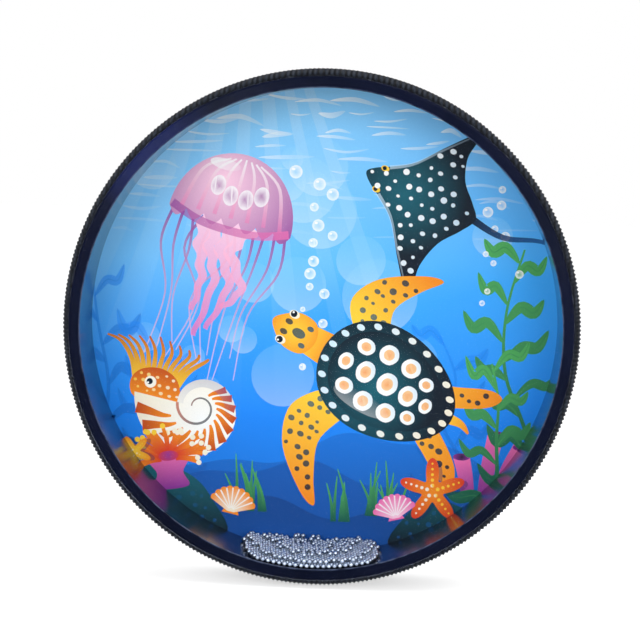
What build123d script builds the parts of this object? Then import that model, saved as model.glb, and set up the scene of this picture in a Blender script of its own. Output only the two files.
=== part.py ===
"""Ocean drum: a shallow round shell, a clear head in front, a picture behind and loose steel balls between.

Millimetres. The drum's axis is Y, the clear head faces -Y and +Z is up, as the drum is held to be looked at.
The origin is the middle of the drum. A section is drawn in the XY plane, radius by depth, and turned about Y.
"""

import math
import os
import random

from build123d import *

# Driving sizes of the drum
outer_diameter = 254.0  # over the webbing, a 10 inch drum
drum_depth = 50.0  # over the outer faces of both heads
shell_wall = 5.7
shell_inner_bevel = 0.4
shoulder_radius = 1.6  # the rounded outer corners of the shell, which the heads are pulled over

# Heads, picture and the clearance that stands for glue and varnish
film_thickness = 0.25
collar_length = 11.0  # how far a head reaches down the side of the shell
seat_gap = 0.05
picture_thickness = 0.15
picture_edge_gap = 0.1  # between the edge of the picture and the shell's bevel

# Webbing wrapped round the side, flat in the middle and rounded down to its edges
webbing_thickness = 1.3
webbing_edge_inset = 2.5  # from the outer face of the head
webbing_shoulder_run = 10.5
webbing_shoulder_drop = 2.25
webbing_seam_gap = 0.6
pad_edge_gap = 0.2  # between the edge of the pad and the start of the webbing's shoulder

# Tacks that hold the collars of the heads to the shell, under the webbing
tack_count = 20
tack_inset = 7.5  # from the outer face of the head
tack_head_diameter = 4.0
tack_head_thickness = 0.7
tack_shank_diameter = 1.0
tack_shank_length = 4.5
tack_point_length = 1.0
tack_hole_gap = 0.02
tack_hole_spare = 0.2

# Steel balls lying at the bottom of the chamber
ball_diameter = 2.5
ball_gap = 0.05  # the least gap between neighbours in a row
row_gap = 0.2  # the least gap between rows, and from the end rows to the heads
wall_gap = 0.15
climb_degrees_front = 14.3  # how far the heap reaches up the wall on either side, in the first row
climb_degrees_rear = 17.1  # the same in the last row
crown_front = -0.3  # how far the middles of the upper balls may lie above those at the heap's ends
crown_rear = 2.2  # the same in the last row
crown_scatter = 0.9  # how unevenly the upper layers end
heap_turn_degrees = 1.6  # how far the last row lies round the wall towards -X, past the first
climb_degrees_scatter = 0.7
layer_count = 4
loose_share = 0.78  # of the places above the second layer, those that may hold a ball
row_stray_share = 0.1  # of a ball's pitch, how far a row may stray from its neat place
scatter_seed = 11
band_count = 9  # pieces that the rows are shared among, from front to rear

# Sizes that follow
half_depth = drum_depth / 2
crown_radius = outer_diameter / 2
webbing_flat_width = drum_depth - 2 * (webbing_edge_inset + webbing_shoulder_run)
shoulder_arc_radius = (webbing_shoulder_run**2 + webbing_shoulder_drop**2) / (2 * webbing_shoulder_drop)
shoulder_arc_sweep = math.degrees(math.asin(webbing_shoulder_run / shoulder_arc_radius))
webbing_edge_rise = webbing_thickness * math.cos(math.radians(shoulder_arc_sweep))
collar_outer_radius = crown_radius - webbing_shoulder_drop - webbing_edge_rise - seat_gap
collar_inner_radius = collar_outer_radius - film_thickness
shell_outer_radius = collar_inner_radius - seat_gap
shell_inner_radius = shell_outer_radius - shell_wall
shell_half_depth = half_depth - film_thickness
sides = {"front": -1, "rear": 1}


def tack_places(facing: int) -> list[Location]:
    """The places of one row of tacks on the collar, with local Z pointing out of the drum."""
    step = 2 * math.pi / tack_count
    depth = facing * (half_depth - tack_inset)
    places = []
    for number in range(tack_count):
        turn = (number + 0.5) * step
        outward = Vector(math.cos(turn), 0, math.sin(turn))
        seat = outward * collar_outer_radius + Vector(0, depth, 0)
        places.append(Plane(origin=seat, z_dir=outward).location)
    return places


# Shell: a bent wooden hoop, rounded outside for the heads, with blind holes for the tacks
with BuildPart() as shell:
    with BuildSketch(Plane.XY) as shell_section:
        with Locations((shell_inner_radius, 0)):
            Rectangle(shell_wall, 2 * shell_half_depth, align=(Align.MIN, Align.CENTER))
        fillet(shell_section.vertices().group_by(Axis.X)[-1], shoulder_radius)
        chamfer(shell_section.vertices().group_by(Axis.X)[0], shell_inner_bevel)
    revolve(axis=Axis.Y)
    for facing in sides.values():
        with Locations(*tack_places(facing)):
            Hole(
                radius=tack_shank_diameter / 2 + tack_hole_gap,
                depth=tack_shank_length + tack_hole_spare,
            )
shell.part.label = "shell"

# Heads: thin film, flat over the edge of the shell, with a collar down its side
heads = {}
for side, facing in sides.items():
    outer_face = facing * half_depth
    inner_face = facing * shell_half_depth
    collar_end = facing * (half_depth - collar_length)
    with BuildPart() as head:
        with BuildSketch(Plane.XY) as head_section:
            with BuildLine():
                Polyline(
                    (0, outer_face),
                    (collar_outer_radius, outer_face),
                    (collar_outer_radius, collar_end),
                    (collar_inner_radius, collar_end),
                    (collar_inner_radius, inner_face),
                    (0, inner_face),
                    close=True,
                )
            make_face()
            corners = head_section.vertices()
            outer_corner = corners.sort_by_distance((collar_outer_radius, outer_face))[0]
            inner_corner = corners.sort_by_distance((collar_inner_radius, inner_face))[0]
            fillet(outer_corner, shoulder_radius + seat_gap + film_thickness)
            inner_corner = head_section.vertices().sort_by_distance(inner_corner)[0]
            fillet(inner_corner, shoulder_radius + seat_gap)
        revolve(axis=Axis.Y)
        with Locations(*tack_places(facing)):
            Hole(radius=tack_shank_diameter / 2 + tack_hole_gap, depth=shell_wall)
    head.part.label = f"{side}_head"
    heads[side] = head.part

# Picture: a printed sheet glued to the inside of the rear head
picture_face = shell_half_depth - picture_thickness
with BuildPart() as picture:
    with BuildSketch(Plane.XZ.offset(-picture_face)):
        Circle(shell_inner_radius + shell_inner_bevel - picture_thickness - picture_edge_gap)
    extrude(amount=-picture_thickness)
picture.part.label = "picture_sheet"

# Tacks: a flat head, a shank and a point, one group for each head
with BuildPart() as tack:
    with BuildSketch(Plane.XZ):
        with BuildLine():
            Polyline(
                (0, tack_head_thickness),
                (tack_head_diameter / 4, tack_head_thickness),
                (tack_head_diameter / 2, tack_head_thickness / 2),
                (tack_head_diameter / 2, 0),
                (tack_shank_diameter / 2, 0),
                (tack_shank_diameter / 2, tack_point_length - tack_shank_length),
                (0, -tack_shank_length),
                close=True,
            )
        make_face()
    revolve(axis=Axis.Z)

tack_groups = {}
for side, facing in sides.items():
    with BuildPart() as tack_group:
        with Locations(*tack_places(facing)):
            add(tack.part)
    tack_group.part.label = f"{side}_tacks"
    tack_groups[side] = tack_group.part

# Pad: a foam strip round the side, which gives the webbing its rounded middle
with BuildPart() as pad:
    with BuildSketch(Plane.XY):
        with Locations((shell_outer_radius + seat_gap, 0)):
            pad_thickness = crown_radius - webbing_thickness - shell_outer_radius - 2 * seat_gap
            pad_width = webbing_flat_width - 2 * pad_edge_gap
            Rectangle(pad_thickness, pad_width, align=(Align.MIN, Align.CENTER))
    revolve(axis=Axis.Y)
pad.part.label = "foam_pad"

# Webbing: one strip round the side, its ends butted at the bottom
arc_center_radius = crown_radius - shoulder_arc_radius
with BuildPart() as webbing:
    with BuildSketch(Plane.XY):
        with BuildLine():
            rear_arcs = []
            front_arcs = []
            for radius in (shoulder_arc_radius, shoulder_arc_radius - webbing_thickness):
                rear_arcs.append(
                    CenterArc((arc_center_radius, webbing_flat_width / 2), radius, 0, shoulder_arc_sweep)
                )
                front_arcs.append(
                    CenterArc((arc_center_radius, -webbing_flat_width / 2), radius, 0, -shoulder_arc_sweep)
                )
            for rear_arc, front_arc in zip(rear_arcs, front_arcs):
                Line(rear_arc @ 0, front_arc @ 0)
            Line(rear_arcs[0] @ 1, rear_arcs[1] @ 1)
            Line(front_arcs[0] @ 1, front_arcs[1] @ 1)
        make_face()
    revolve(axis=Axis.Y)
    with Locations((0, 0, -crown_radius)):
        Box(webbing_seam_gap, drum_depth, 2 * (crown_radius - collar_outer_radius), mode=Mode.SUBTRACT)
webbing.part.label = "side_webbing"

# Balls: rows one behind the other, each with a layer on the wall and looser layers in the hollows above it
chamber_front = -shell_half_depth
chamber_depth = picture_face - chamber_front
row_count = math.floor((chamber_depth - row_gap) / (ball_diameter + row_gap))
row_pitch = chamber_depth / row_count
wall_layer_radius = shell_inner_radius - wall_gap - ball_diameter / 2
# All layers share one angular pitch, so the innermost one sets it and the outer ones have more room.
top_layer_radius = wall_layer_radius - (layer_count - 1) * (ball_diameter + ball_gap)
ball_turn = (ball_diameter + ball_gap) / top_layer_radius
layer_rise = ball_turn * wall_layer_radius * math.sin(math.radians(60))


def eased(front: float, rear: float, share: float) -> float:
    """A value between those of the first and the last row, which changes fastest near the first."""
    return front + (rear - front) * math.sqrt(share)


def row_centres(row: int, layers: range, scatter: random.Random) -> list[tuple[float, float, float]]:
    """Ball centres of some layers of a row, each in a hollow between two balls below, level on top."""
    depth = chamber_front + (row + 0.5) * row_pitch
    share = row / (row_count - 1)
    phase = row % 2 / 2 + scatter.uniform(-row_stray_share, row_stray_share)
    climb = eased(climb_degrees_front, climb_degrees_rear, share)
    limit = math.radians(climb + scatter.uniform(-climb_degrees_scatter, climb_degrees_scatter))
    level = eased(crown_front, crown_rear, share) - wall_layer_radius * math.cos(limit)
    steps = math.ceil(limit / ball_turn) + layer_count
    centres = []
    below = set(range(-steps, steps + 1))
    for layer in range(layer_count):
        radius = wall_layer_radius - layer * layer_rise
        held = set()
        for step in range(-steps, steps):
            turn = (step + phase + layer / 2) * ball_turn
            ragged = level + scatter.uniform(-crown_scatter, crown_scatter)
            low_enough = layer == 0 or -radius * math.cos(turn) < ragged
            chosen = layer < 2 or scatter.random() < loose_share
            if abs(turn) < limit and low_enough and chosen and {step, step + 1} <= below:
                held.add(step)
                around = turn - share * math.radians(heap_turn_degrees)
                if layer in layers:
                    centres.append((radius * math.sin(around), depth, -radius * math.cos(around)))
        below = held
    return centres


ball_bands = []
for band in range(band_count):
    rows = [row for row in range(row_count) if row * band_count // row_count == band]
    for name, layers in (("rolling", range(1)), ("washing", range(1, layer_count))):
        centres = []
        for row in rows:
            # Both parts of a row start from one seed, so they share the row's phase.
            centres += row_centres(row, layers, random.Random(scatter_seed + row))
        with BuildPart() as balls:
            with Locations(*centres):
                Sphere(ball_diameter / 2)
        balls.part.label = f"{name}_balls_{band + 1}"
        ball_bands.append(balls.part)

os.makedirs("parts", exist_ok=True)
pieces = [shell.part, picture.part, pad.part, webbing.part]
pieces += [*heads.values(), *tack_groups.values(), *ball_bands]
for piece in pieces:
    export_step(piece, f"parts/{piece.label}.step")
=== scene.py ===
"""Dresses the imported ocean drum: lacquered shell, film heads, sea picture, woven side and steel balls.

Metres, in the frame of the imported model: the drum's axis is Y, the clear head faces -Y and +Z is up.
The shell's sections and the picture are drawn in millimetres, the picture with u to the right and v up,
as it is seen from the front.
"""

import logging
import math
import random
from collections.abc import Callable
from dataclasses import dataclass, field, replace
from enum import Enum
from typing import Any

import bmesh
import bpy
import numpy as np
from mathutils import Matrix, Vector
from mathutils.geometry import delaunay_2d_cdt


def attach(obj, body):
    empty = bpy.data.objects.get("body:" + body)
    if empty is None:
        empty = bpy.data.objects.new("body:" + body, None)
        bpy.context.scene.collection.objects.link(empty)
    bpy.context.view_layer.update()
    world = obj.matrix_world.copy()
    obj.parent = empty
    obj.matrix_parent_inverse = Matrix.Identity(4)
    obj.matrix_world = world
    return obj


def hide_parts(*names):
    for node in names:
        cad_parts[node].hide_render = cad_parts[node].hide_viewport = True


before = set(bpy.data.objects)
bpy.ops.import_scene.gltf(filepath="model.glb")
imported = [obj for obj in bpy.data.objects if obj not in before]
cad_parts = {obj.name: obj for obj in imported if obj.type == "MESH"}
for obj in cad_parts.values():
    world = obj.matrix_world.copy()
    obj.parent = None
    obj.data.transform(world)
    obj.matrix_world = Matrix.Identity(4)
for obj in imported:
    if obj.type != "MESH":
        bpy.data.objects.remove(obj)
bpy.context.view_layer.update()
log = logging.getLogger("ocean_drum")

MM = 0.001
Point = tuple[float, float]
Outline = list[Point]
Colour = tuple[float, float, float, float]
WHITE: Colour = (1.0, 1.0, 1.0, 1.0)


def shown(red: float, green: float, blue: float) -> Colour:
    """Turns a colour as a screen shows it into the linear values that Blender takes.

    Args:
        red: Red from 0 to 255.
        green: Green from 0 to 255.
        blue: Blue from 0 to 255.
    Returns:
        Linear red, green, blue and a full alpha.
    """
    parts = []
    for part in (red / 255, green / 255, blue / 255):
        parts.append(part / 12.92 if part <= 0.04045 else ((part + 0.055) / 1.055) ** 2.4)
    return (parts[0], parts[1], parts[2], 1.0)


def arithmetic(operation: str, reverse: bool = False) -> Callable[["Signal", "Signal | float"], "Signal"]:
    """Makes an operator of Signal, which adds a Math node.

    Args:
        operation: What the node works out.
        reverse: Whether the other value comes first.
    Returns:
        The operator's method.
    """

    def method(signal: "Signal", other: "Signal | float") -> "Signal":
        """Adds the Math node to the signal's tree and gives its result."""
        values = (other, signal) if reverse else (signal, other)
        return signal.graph.math(operation, *values)

    return method


class Signal:
    """The value of an output socket, whose arithmetic adds Math nodes to its tree."""

    def __init__(self, graph: "Graph", socket: bpy.types.NodeSocket) -> None:
        """Keeps the socket and the tree that it belongs to."""
        self.graph = graph
        self.socket = socket

    __add__ = arithmetic("ADD")
    __radd__ = arithmetic("ADD", reverse=True)
    __sub__ = arithmetic("SUBTRACT")
    __rsub__ = arithmetic("SUBTRACT", reverse=True)
    __mul__ = arithmetic("MULTIPLY")
    __rmul__ = arithmetic("MULTIPLY", reverse=True)
    __truediv__ = arithmetic("DIVIDE")
    __rtruediv__ = arithmetic("DIVIDE", reverse=True)
    __pow__ = arithmetic("POWER")


@dataclass(frozen=True)
class Patches:
    """Soft random patches over a surface: noise, eased from 0 at low to 1 at high."""

    scale: float
    low: float
    high: float
    detail: float = 2.0


class Graph:
    """A node tree, of a material or of Geometry Nodes."""

    def __init__(self, tree: bpy.types.NodeTree) -> None:
        """Keeps the tree that nodes are added to."""
        self.tree = tree

    def node(
        self,
        kind: str,
        settings: dict[str, Any] | None = None,
        inputs: dict[str | int, Any] | None = None,
    ) -> bpy.types.Node:
        """Adds one node.

        Args:
            kind: The node's type.
            settings: Its own properties, set before its sockets.
            inputs: Values or links by socket identifier, name or number.
        Returns:
            The node.
        """
        node = self.tree.nodes.new(kind)
        for name, value in (settings or {}).items():
            setattr(node, name, value)
        for key, value in (inputs or {}).items():
            by_identifier = {socket.identifier: socket for socket in node.inputs}
            socket = by_identifier.get(key) or node.inputs[key]
            if isinstance(value, Signal):
                self.tree.links.new(value.socket, socket)
            else:
                socket.default_value = value
        return node

    def signal(
        self,
        kind: str,
        settings: dict[str, Any] | None = None,
        inputs: dict[str | int, Any] | None = None,
        output: str | int = 0,
    ) -> Signal:
        """Adds one node and takes one of its outputs.

        Args:
            kind: The node's type.
            settings: Its own properties.
            inputs: Values or links of its sockets.
            output: Identifier, name or number of the output.
        Returns:
            The output, ready for arithmetic.
        """
        node = self.node(kind, settings, inputs)
        by_identifier = {socket.identifier: socket for socket in node.outputs}
        return Signal(self, by_identifier.get(output) or node.outputs[output])

    def math(self, operation: str, *values: Signal | float) -> Signal:
        """Adds one Math node and gives its result."""
        return self.signal("ShaderNodeMath", {"operation": operation}, dict(enumerate(values)))

    def smooth(self, value: Signal, low: float, high: float) -> Signal:
        """Eases a value from 0 at low to 1 at high."""
        limits = {"Value": value, "From Min": low, "From Max": high}
        return self.signal("ShaderNodeMapRange", {"interpolation_type": "SMOOTHSTEP"}, limits)

    def noise(self, scale: float, detail: float = 2.0) -> Signal:
        """Gives soft random values round 0.5, with so many features in a metre and finer octaves."""
        inputs = {"Vector": self.place(), "Scale": scale, "Detail": detail}
        return self.signal("ShaderNodeTexNoise", {}, inputs)

    def patches(self, kind: Patches) -> Signal:
        """Gives soft random patches, from 0 to 1."""
        return self.smooth(self.noise(kind.scale, kind.detail), kind.low, kind.high)

    def cells(self, scale: float) -> Signal:
        """Gives the distance from the middle of a random cell, with so many cells in a metre."""
        return self.signal("ShaderNodeTexVoronoi", {}, {"Vector": self.place(), "Scale": scale})

    def place(self) -> Signal:
        """Gives the object coordinates."""
        return self.signal("ShaderNodeTexCoord", {}, {}, "Object")

    def place_round_axis(self) -> tuple[Signal, Signal, Signal, Signal]:
        """Gives the object's X, Y and Z, and the distance from the drum's axis."""
        x, y, z = self.parts(self.place())
        return (x, y, z, self.math("SQRT", x * x + z * z))

    def attribute(self, name: str, output: str) -> Signal:
        """Gives an output of a mesh attribute."""
        return self.signal("ShaderNodeAttribute", {"attribute_name": name}, {}, output)

    def parts(self, vector: Signal) -> tuple[Signal, ...]:
        """Splits a vector into its X, Y and Z."""
        node = self.node("ShaderNodeSeparateXYZ", {}, {0: vector})
        return tuple(Signal(self, socket) for socket in node.outputs)

    def vector(self, x: Signal | float, y: Signal | float, z: Signal | float) -> Signal:
        """Joins three values into a vector."""
        return self.signal("ShaderNodeCombineXYZ", {}, {0: x, 1: y, 2: z})

    def mix(
        self,
        factor: Signal,
        first: Signal | Colour,
        second: Signal | Colour,
        mode: str = "MIX",
    ) -> Signal:
        """Mixes two colours.

        Args:
            factor: Share of the second colour.
            first: First colour.
            second: Second colour.
            mode: How they are mixed.
        Returns:
            The mixed colour.
        """
        settings = {"data_type": "RGBA", "blend_type": mode}
        inputs = {"Factor_Float": factor, "A_Color": first, "B_Color": second}
        return self.signal("ShaderNodeMix", settings, inputs, "Result_Color")

    def bump(self, height: Signal, distance: float) -> Signal:
        """Turns a height from 0 to 1 into a bent normal; 1 stands for the distance in metres."""
        inputs = {"Height": height, "Distance": distance, "Strength": 1.0}
        return self.signal("ShaderNodeBump", {}, inputs)

    def seen(self) -> Signal:
        """Tells whether a ray shows the room itself.

        Returns:
            1 from the camera, in a reflection or through a surface, and 0 for a ray that only gives light.
        """
        path = self.node("ShaderNodeLightPath")
        camera, glossy, through = (
            Signal(self, path.outputs[f"Is {kind} Ray"]) for kind in ("Camera", "Glossy", "Transmission")
        )
        return self.math("MINIMUM", camera + glossy + through, 1.0)


class Finish:
    """A material of the drum, a Principled one unless the finish builds its own surface."""

    name = "finish"

    def material(self) -> bpy.types.Material:
        """Builds the material.

        Returns:
            The material, with its surface linked.
        """
        made = bpy.data.materials.new(self.name)
        made.use_nodes = True
        made.node_tree.nodes.clear()
        graph = Graph(made.node_tree)
        graph.node("ShaderNodeOutputMaterial", {}, {"Surface": self.surface(graph)})
        return made

    def surface(self, graph: Graph) -> Signal:
        """Adds the nodes of the surface and gives its shader."""
        return graph.signal("ShaderNodeBsdfPrincipled", {}, self.inputs(graph))

    def inputs(self, graph: Graph) -> dict[str, Any]:
        """Adds the nodes of a Principled surface and gives the inputs of its shader."""
        raise NotImplementedError


@dataclass(frozen=True)
class NavyLacquer(Finish):
    """Glossy dark navy lacquer on the wooden shell, worn paler along its inner edges, a pale line that is
    also a painted highlight, with a painted violet highlight towards the upper left.
    """

    name: str = "navy_lacquer"
    colour: Colour = shown(9, 14, 32)
    bloom: Colour = shown(14, 19, 41)
    violet_highlight: Colour = shown(30, 38, 86)
    worn_and_highlight: Colour = shown(86, 98, 128)
    inner_radius: float = 0.117514
    edge_depth: float = 0.02475
    edge_width: Point = (0.00028, 0.0007)
    wall_skin: Point = (0.00004, 0.0002)
    wall_coat: float = 0.8
    scuffs: Patches = Patches(240.0, 0.3, 0.62, 3.0)
    wear_and_highlight_share: float = 0.8
    clouds: Patches = Patches(22.0, 0.3, 0.75, 3.0)
    streaks: Patches = Patches(18.0, 0.2, 0.6)
    highlight_arc: Point = (0.955, 0.998)
    highlight_share: float = 0.75
    peel_scale: float = 420.0
    peel_depth: float = 0.000004

    def inputs(self, graph: Graph) -> dict[str, Any]:
        """Adds the nodes of the lacquer.

        Args:
            graph: The material's tree.
        Returns:
            The inputs of its shader.
        """
        x, y, z, radius = graph.place_round_axis()
        from_bore = graph.math("ABSOLUTE", radius - self.inner_radius)
        from_face = graph.math("ABSOLUTE", graph.math("ABSOLUTE", y) - self.edge_depth)
        edge = 1 - graph.smooth(from_bore + from_face, *self.edge_width)
        # Paler worn inner edges, whose pale line is also a painted highlight along the bore's rim.
        wear_and_highlight = edge * graph.patches(self.scuffs) * self.wear_and_highlight_share
        # A painted violet highlight, streaked, towards the upper left of the hoop.
        upper_left = (z - x) / radius * math.sqrt(0.5)
        thick = graph.smooth(upper_left, *self.highlight_arc) * graph.patches(self.streaks)
        thin = graph.mix(graph.patches(self.clouds), self.colour, self.bloom)
        coat = graph.mix(thick * self.highlight_share, thin, self.violet_highlight)
        wall = 1 - graph.smooth(radius - self.inner_radius, *self.wall_skin)
        return {
            "Base Color": graph.mix(wear_and_highlight, coat, self.worn_and_highlight),
            "Roughness": 0.13 + 0.1 * graph.noise(60.0) + 0.2 * wear_and_highlight,
            "Specular IOR Level": 0.02,
            "Coat Weight": wall * self.wall_coat,
            "Coat Roughness": 0.2,
            "Normal": graph.bump(graph.noise(self.peel_scale, 1.0), self.peel_depth),
        }


@dataclass(frozen=True)
class ClearFilm(Finish):
    """Clear polyester film: nearly nothing to see but a weak shine, stronger at a slant and on its bend. The
    bend's extra shine is a painted highlight, strongest towards the bottom, and all its shine has a painted
    blue tint.
    """

    name: str = "clear_film"
    shine: float = 0.0006
    smear_shine: float = 0.0006
    slant_shine: float = 0.3
    slant_power: int = 5
    bend_shine: float = 0.1
    bend_radius: Point = (0.1224, 0.1235)
    bend_lean: float = -0.35
    top_share: float = 0.03
    smears: Patches = Patches(9.0, 0.45, 0.8, 4.0)
    ripple_depth: float = 0.0006
    # Painted blue tint of the film's reflections.
    reflection_tint: Colour = shown(198, 211, 240)

    def surface(self, graph: Graph) -> Signal:
        """Adds the nodes of the film.

        Args:
            graph: The material's tree.
        Returns:
            The shader.
        """
        slant = graph.signal("ShaderNodeLayerWeight", {}, {"Blend": 0.5}, "Facing")
        smear = graph.patches(self.smears)
        x, _, z, radius = graph.place_round_axis()
        # A painted highlight on the bend, strongest towards the bottom of the drum.
        low = graph.smooth((self.bend_lean * x - z) / radius, 0.3, 1.0)
        bend_highlight_mask = (self.top_share + (1 - self.top_share) * low) * (0.4 + 0.6 * graph.noise(26.0))
        bend = graph.smooth(radius, *self.bend_radius) * bend_highlight_mask
        share = self.shine + self.slant_shine * slant**self.slant_power
        share = share + self.smear_shine * smear + self.bend_shine * bend
        gloss_inputs = {
            "Color": self.reflection_tint,
            "Roughness": 0.08 + 0.1 * smear + 0.25 * bend,
            "Normal": graph.bump(graph.noise(14.0, 1.0), self.ripple_depth),
        }
        gloss = graph.signal("ShaderNodeBsdfGlossy", {}, gloss_inputs)
        through = graph.signal("ShaderNodeBsdfTransparent", {}, {"Color": WHITE})
        return graph.signal("ShaderNodeMixShader", {}, {0: share, 1: through, 2: gloss})


@dataclass(frozen=True)
class WhiteFilm(Finish):
    """Satin white film of the rear head, a little handled, with the shell's dark edge showing through."""

    name: str = "white_film"
    colour: Colour = shown(240, 242, 243)
    cloudy: Colour = shown(231, 235, 239)
    handled: Colour = shown(222, 222, 217)
    backed: Colour = shown(176, 183, 199)
    edge_radius: Point = (0.1172, 0.1179)
    clouds: Patches = Patches(16.0, 0.35, 0.7, 4.0)
    smudges: Patches = Patches(34.0, 0.58, 0.75, 5.0)
    smudge_share: float = 0.3
    tooth_scale: float = 1800.0
    sag_scale: float = 11.0
    tooth_depth: float = 0.00012

    def inputs(self, graph: Graph) -> dict[str, Any]:
        """Adds the nodes of the film.

        Args:
            graph: The material's tree.
        Returns:
            The inputs of its shader.
        """
        cloud = graph.patches(self.clouds)
        smudge = graph.patches(self.smudges) * self.smudge_share
        colour = graph.mix(smudge, graph.mix(cloud, self.colour, self.cloudy), self.handled)
        _, _, _, radius = graph.place_round_axis()
        edge = graph.smooth(radius, *self.edge_radius) * (0.3 + 0.3 * graph.noise(45.0))
        tooth = graph.noise(self.tooth_scale, 1.0) + graph.noise(self.sag_scale, 1.0) * 1.5
        return {
            "Base Color": graph.mix(edge, colour, self.backed),
            "Roughness": 0.3 + 0.06 * cloud + 0.25 * smudge,
            "Specular IOR Level": 0.35,
            "Normal": graph.bump(tooth, self.tooth_depth),
        }


@dataclass(frozen=True)
class PictureInk(Finish):
    """Printing inks under a satin varnish; the colours lie in the sheet's own attribute."""

    name: str = "printed_picture"
    attribute_name: str = "ink"
    shade: Colour = (0.72, 0.78, 0.84, 1.0)
    screen_pitch: float = 0.0007
    paper_scale: float = 900.0
    paper_depth: float = 0.00002

    def inputs(self, graph: Graph) -> dict[str, Any]:
        """Adds the nodes of the print.

        Args:
            graph: The material's tree.
        Returns:
            The inputs of its shader.
        """
        ink = graph.attribute(self.attribute_name, "Color")
        fleck = graph.smooth(graph.cells(1 / self.screen_pitch), 0.15, 0.75)
        grain = fleck * 0.12 + graph.noise(60.0, 4.0) * 0.16
        return {
            "Base Color": graph.mix(grain, ink, self.shade, "MULTIPLY"),
            "Roughness": 0.42 + 0.12 * graph.noise(30.0),
            "Specular IOR Level": 0.1,
            "Normal": graph.bump(graph.noise(self.paper_scale, 1.0), self.paper_depth),
        }


@dataclass(frozen=True)
class WebbingYarn(Finish):
    """Black yarn of the side webbing, with dusty crests, painted shade in its hollows and fine twisted
    fibres.
    """

    name: str = "black_webbing"
    attribute_name: str = "strip"
    crest: Colour = shown(62, 69, 82)
    hollow_shade: Colour = shown(7, 8, 12)
    dust: Colour = shown(80, 86, 98)
    dust_share: float = 0.45
    lint: Patches = Patches(900.0, 0.55, 0.75, 3.0)
    fibre_pitch: float = 0.00022
    fibre_slant: float = 0.7
    fibre_depth: float = 0.00006
    selvedge: Point = (0.0218, 0.0227)
    selvedge_painted_light: float = 0.45

    def inputs(self, graph: Graph) -> dict[str, Any]:
        """Adds the nodes of the yarn.

        Args:
            graph: The material's tree.
        Returns:
            The inputs of its shader.
        """
        along, across, lift = graph.parts(graph.attribute(self.attribute_name, "Vector"))
        twist = graph.math("SINE", (along + across * self.fibre_slant) * (math.tau / self.fibre_pitch))
        fibre = graph.smooth(twist + graph.noise(3000.0, 1.0), -0.6, 1.4)
        lint = graph.patches(self.lint)
        # The selvedge is raised towards the crest colour: painted light on an edge that lies in shade.
        selvedge = graph.smooth(graph.math("ABSOLUTE", across), *self.selvedge)
        lift = graph.math("MAXIMUM", lift, selvedge * self.selvedge_painted_light)
        # Where the weave lies low it takes the darker colour: painted shade in the hollows.
        body = graph.mix(lift * (0.45 + 0.55 * fibre), self.hollow_shade, self.crest)
        return {
            "Base Color": graph.mix(lint * lift * self.dust_share, body, self.dust),
            "Roughness": 0.72 + 0.2 * lint,
            "Specular IOR Level": 0.1,
            "Sheen Weight": 0.03,
            "Sheen Roughness": 0.4,
            "Normal": graph.bump(fibre, self.fibre_depth),
        }


@dataclass(frozen=True)
class BallSteel(Finish):
    """Polished steel balls, each a little duller or brighter than the next."""

    name: str = "ball_steel"
    bright: Colour = shown(182, 194, 211)
    dull: Colour = shown(154, 166, 186)
    batches: Patches = Patches(330.0, 0.35, 0.65, 0.0)
    film_scale: float = 1500.0
    film_depth: float = 0.00001

    def inputs(self, graph: Graph) -> dict[str, Any]:
        """Adds the nodes of the polished steel.

        Args:
            graph: The material's tree.
        Returns:
            The inputs of its shader.
        """
        film = graph.noise(self.film_scale)
        return {
            "Base Color": graph.mix(graph.patches(self.batches), self.dull, self.bright),
            "Metallic": 1.0,
            "Roughness": 0.23 + 0.12 * film,
            "Normal": graph.bump(film, self.film_depth),
        }


@dataclass(frozen=True)
class TackSteel(Finish):
    """Plain blued steel of the tacks, with faint brush marks."""

    name: str = "tack_steel"
    bright: Colour = shown(150, 152, 156)
    blued: Colour = shown(92, 96, 106)
    blueing: Patches = Patches(900.0, 0.35, 0.7, 3.0)
    brush_scale: float = 5000.0
    brush_depth: float = 0.00002

    def inputs(self, graph: Graph) -> dict[str, Any]:
        """Adds the nodes of the plain steel.

        Args:
            graph: The material's tree.
        Returns:
            The inputs of its shader.
        """
        blue = graph.patches(self.blueing)
        return {
            "Base Color": graph.mix(blue, self.bright, self.blued),
            "Metallic": 1.0,
            "Roughness": 0.34 + 0.2 * blue,
            "Normal": graph.bump(graph.noise(self.brush_scale), self.brush_depth),
        }


@dataclass(frozen=True)
class BlackFoam(Finish):
    """Closed-cell black foam with open cut cells, whose insides are painted darker as shade."""

    name: str = "black_foam"
    colour: Colour = shown(44, 45, 48)
    cell: Colour = shown(20, 20, 22)
    cell_scale: float = 2200.0
    cell_depth: float = 0.00015

    def inputs(self, graph: Graph) -> dict[str, Any]:
        """Adds the nodes of the foam.

        Args:
            graph: The material's tree.
        Returns:
            The inputs of its shader.
        """
        # Cell middles take the darker colour: painted shade in the pits.
        rim = graph.smooth(graph.cells(self.cell_scale), 0.1, 0.6)
        return {
            "Base Color": graph.mix(rim, self.cell, self.colour),
            "Roughness": 0.86 + 0.1 * rim,
            "Specular IOR Level": 0.2,
            "Normal": graph.bump(rim, self.cell_depth),
        }


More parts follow.
